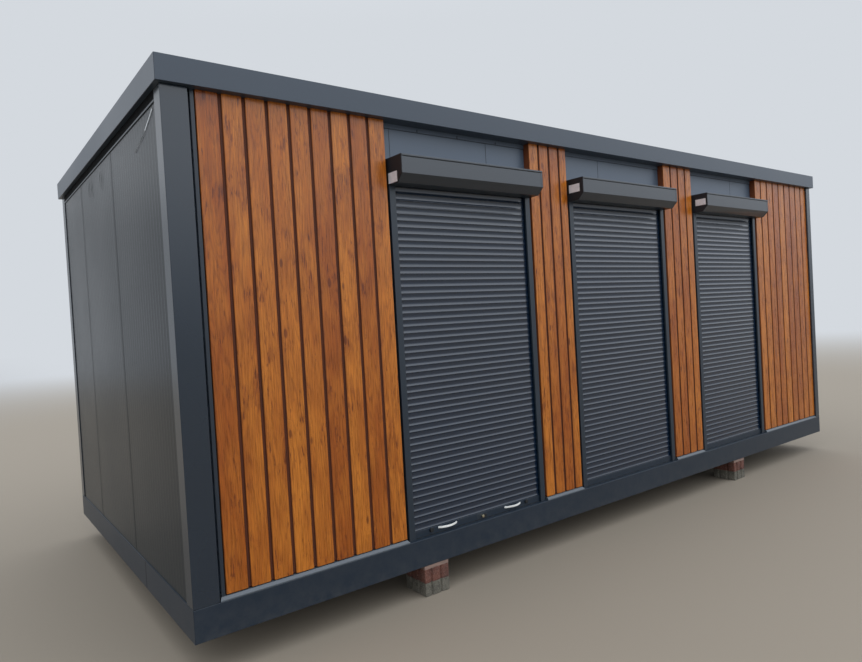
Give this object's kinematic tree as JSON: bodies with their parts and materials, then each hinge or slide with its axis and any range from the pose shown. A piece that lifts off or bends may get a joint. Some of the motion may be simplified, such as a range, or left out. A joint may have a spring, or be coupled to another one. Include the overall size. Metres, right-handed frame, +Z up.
{
  "type": "shipping container cabin",
  "caption": "Flat-roofed cabin of container size on block supports, with grooved wood effect cladding between shuttered doorways in its front and plain panel walls elsewhere.",
  "frame": {"origin": "on the ground, below the middle of the overall bounding box", "axes": "+X along the front from the left end to the right end as seen from the front, +Y from the front to the back, +Z up; the shuttered front faces -Y"},
  "size_m": [6.6, 3.082, 2.88],
  "materials": {
    "base_frame": "satin anthracite paint on folded steel channel",
    "post_paint": "satin anthracite paint on folded steel sheet",
    "fascia_paint": "satin anthracite coil coating",
    "roof_sheet": "coil coated ribbed steel sheet",
    "side_panel": "glossy coil coated sandwich panel skin",
    "front_panel": "satin coil coated sandwich panel skin",
    "cladding_wood": "golden oak coloured boards with a satin coat",
    "sill_trim": "satin grey coated steel trim",
    "shutter_slat": "semi gloss anthracite roll formed slats",
    "shutter_box": "semi gloss anthracite folded sheet",
    "shutter_end": "matt dark grey cast end plate",
    "shutter_guide": "semi gloss anthracite extruded guide",
    "shutter_handle": "glossy off-white moulded plastic",
    "floor": "galvanised steel sheet under the insulated floor",
    "paving_block": "rough pressed concrete",
    "packing_board": "rough sawn softwood"
  },
  "bodies": {
    "root": {"back_wall": "side_panel", "base_frame_back": "base_frame", "base_frame_front": "base_frame", "base_frame_left": "base_frame", "base_frame_right": "base_frame", "cladding_1": "cladding_wood", "cladding_2": "cladding_wood", "cladding_3": "cladding_wood", "cladding_4": "cladding_wood", "cladding_edge_trim": "sill_trim", "corner_post_back_left": "post_paint", "corner_post_back_right": "post_paint", "corner_post_front_left": "post_paint", "corner_post_front_right": "post_paint", "floor_deck": "floor", "front_wall_header": "front_panel", "front_wall_piers": "front_panel", "left_wall": "side_panel", "right_wall": "side_panel", "roof_panel": "roof_sheet", "roof_rail_back": "fascia_paint", "roof_rail_front": "fascia_paint", "roof_rail_left": "fascia_paint", "roof_rail_right": "fascia_paint", "shutter_bottom_bar_1": "shutter_slat", "shutter_bottom_bar_2": "shutter_slat", "shutter_bottom_bar_3": "shutter_slat", "shutter_box_1": "shutter_box", "shutter_box_2": "shutter_box", "shutter_box_3": "shutter_box", "shutter_curtain_1": "shutter_slat", "shutter_curtain_2": "shutter_slat", "shutter_curtain_3": "shutter_slat", "shutter_end_plates_1": "shutter_end", "shutter_end_plates_2": "shutter_end", "shutter_end_plates_3": "shutter_end", "shutter_guides_1": "shutter_guide", "shutter_guides_2": "shutter_guide", "shutter_guides_3": "shutter_guide", "shutter_handles": "shutter_handle", "sill_trims": "sill_trim", "support_blocks": "paving_block", "support_boards": "packing_board"}
  },
  "joints": []
}
